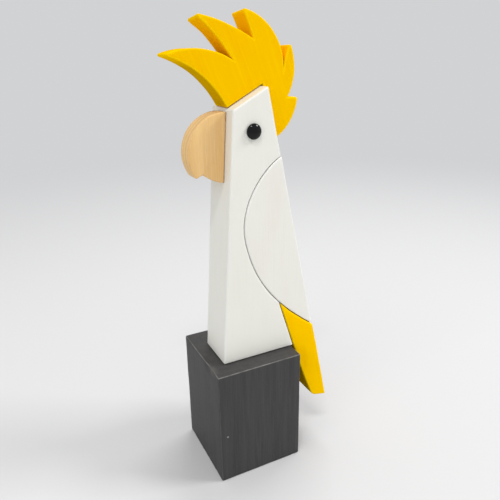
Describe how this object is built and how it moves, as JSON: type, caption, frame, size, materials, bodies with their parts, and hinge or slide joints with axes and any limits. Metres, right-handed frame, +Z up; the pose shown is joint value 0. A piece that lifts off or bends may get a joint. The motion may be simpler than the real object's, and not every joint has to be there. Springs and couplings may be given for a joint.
{
  "type": "parrot figurine",
  "caption": "Painted wooden cockatoo figurine sawn from flat boards, with a feathered crest and a hooked beak, standing on a square block.",
  "frame": {"origin": "centre of the block's bottom face", "axes": "+Z up; the bird faces -Y, and its left side faces +X"},
  "size_m": [0.038, 0.0647, 0.1859],
  "materials": {
    "white_paint": "white satin paint on planed wood",
    "yellow_paint": "yellow satin paint on planed wood",
    "black_stain": "thin matt black stain with the grain showing",
    "bare_wood": "clear satin varnish on pale wood",
    "dowel_wood": "bare beech",
    "black_glass": "glossy black bead"
  },
  "bodies": {
    "root": {"base_block": "black_stain", "body": "white_paint", "wing": "white_paint", "tail": "yellow_paint", "crest": "yellow_paint", "beak": "bare_wood", "eye_left": "black_glass", "eye_right": "black_glass", "foot_dowel_front": "dowel_wood", "foot_dowel_back": "dowel_wood", "crest_dowel": "dowel_wood", "beak_dowel": "dowel_wood"}
  },
  "joints": []
}
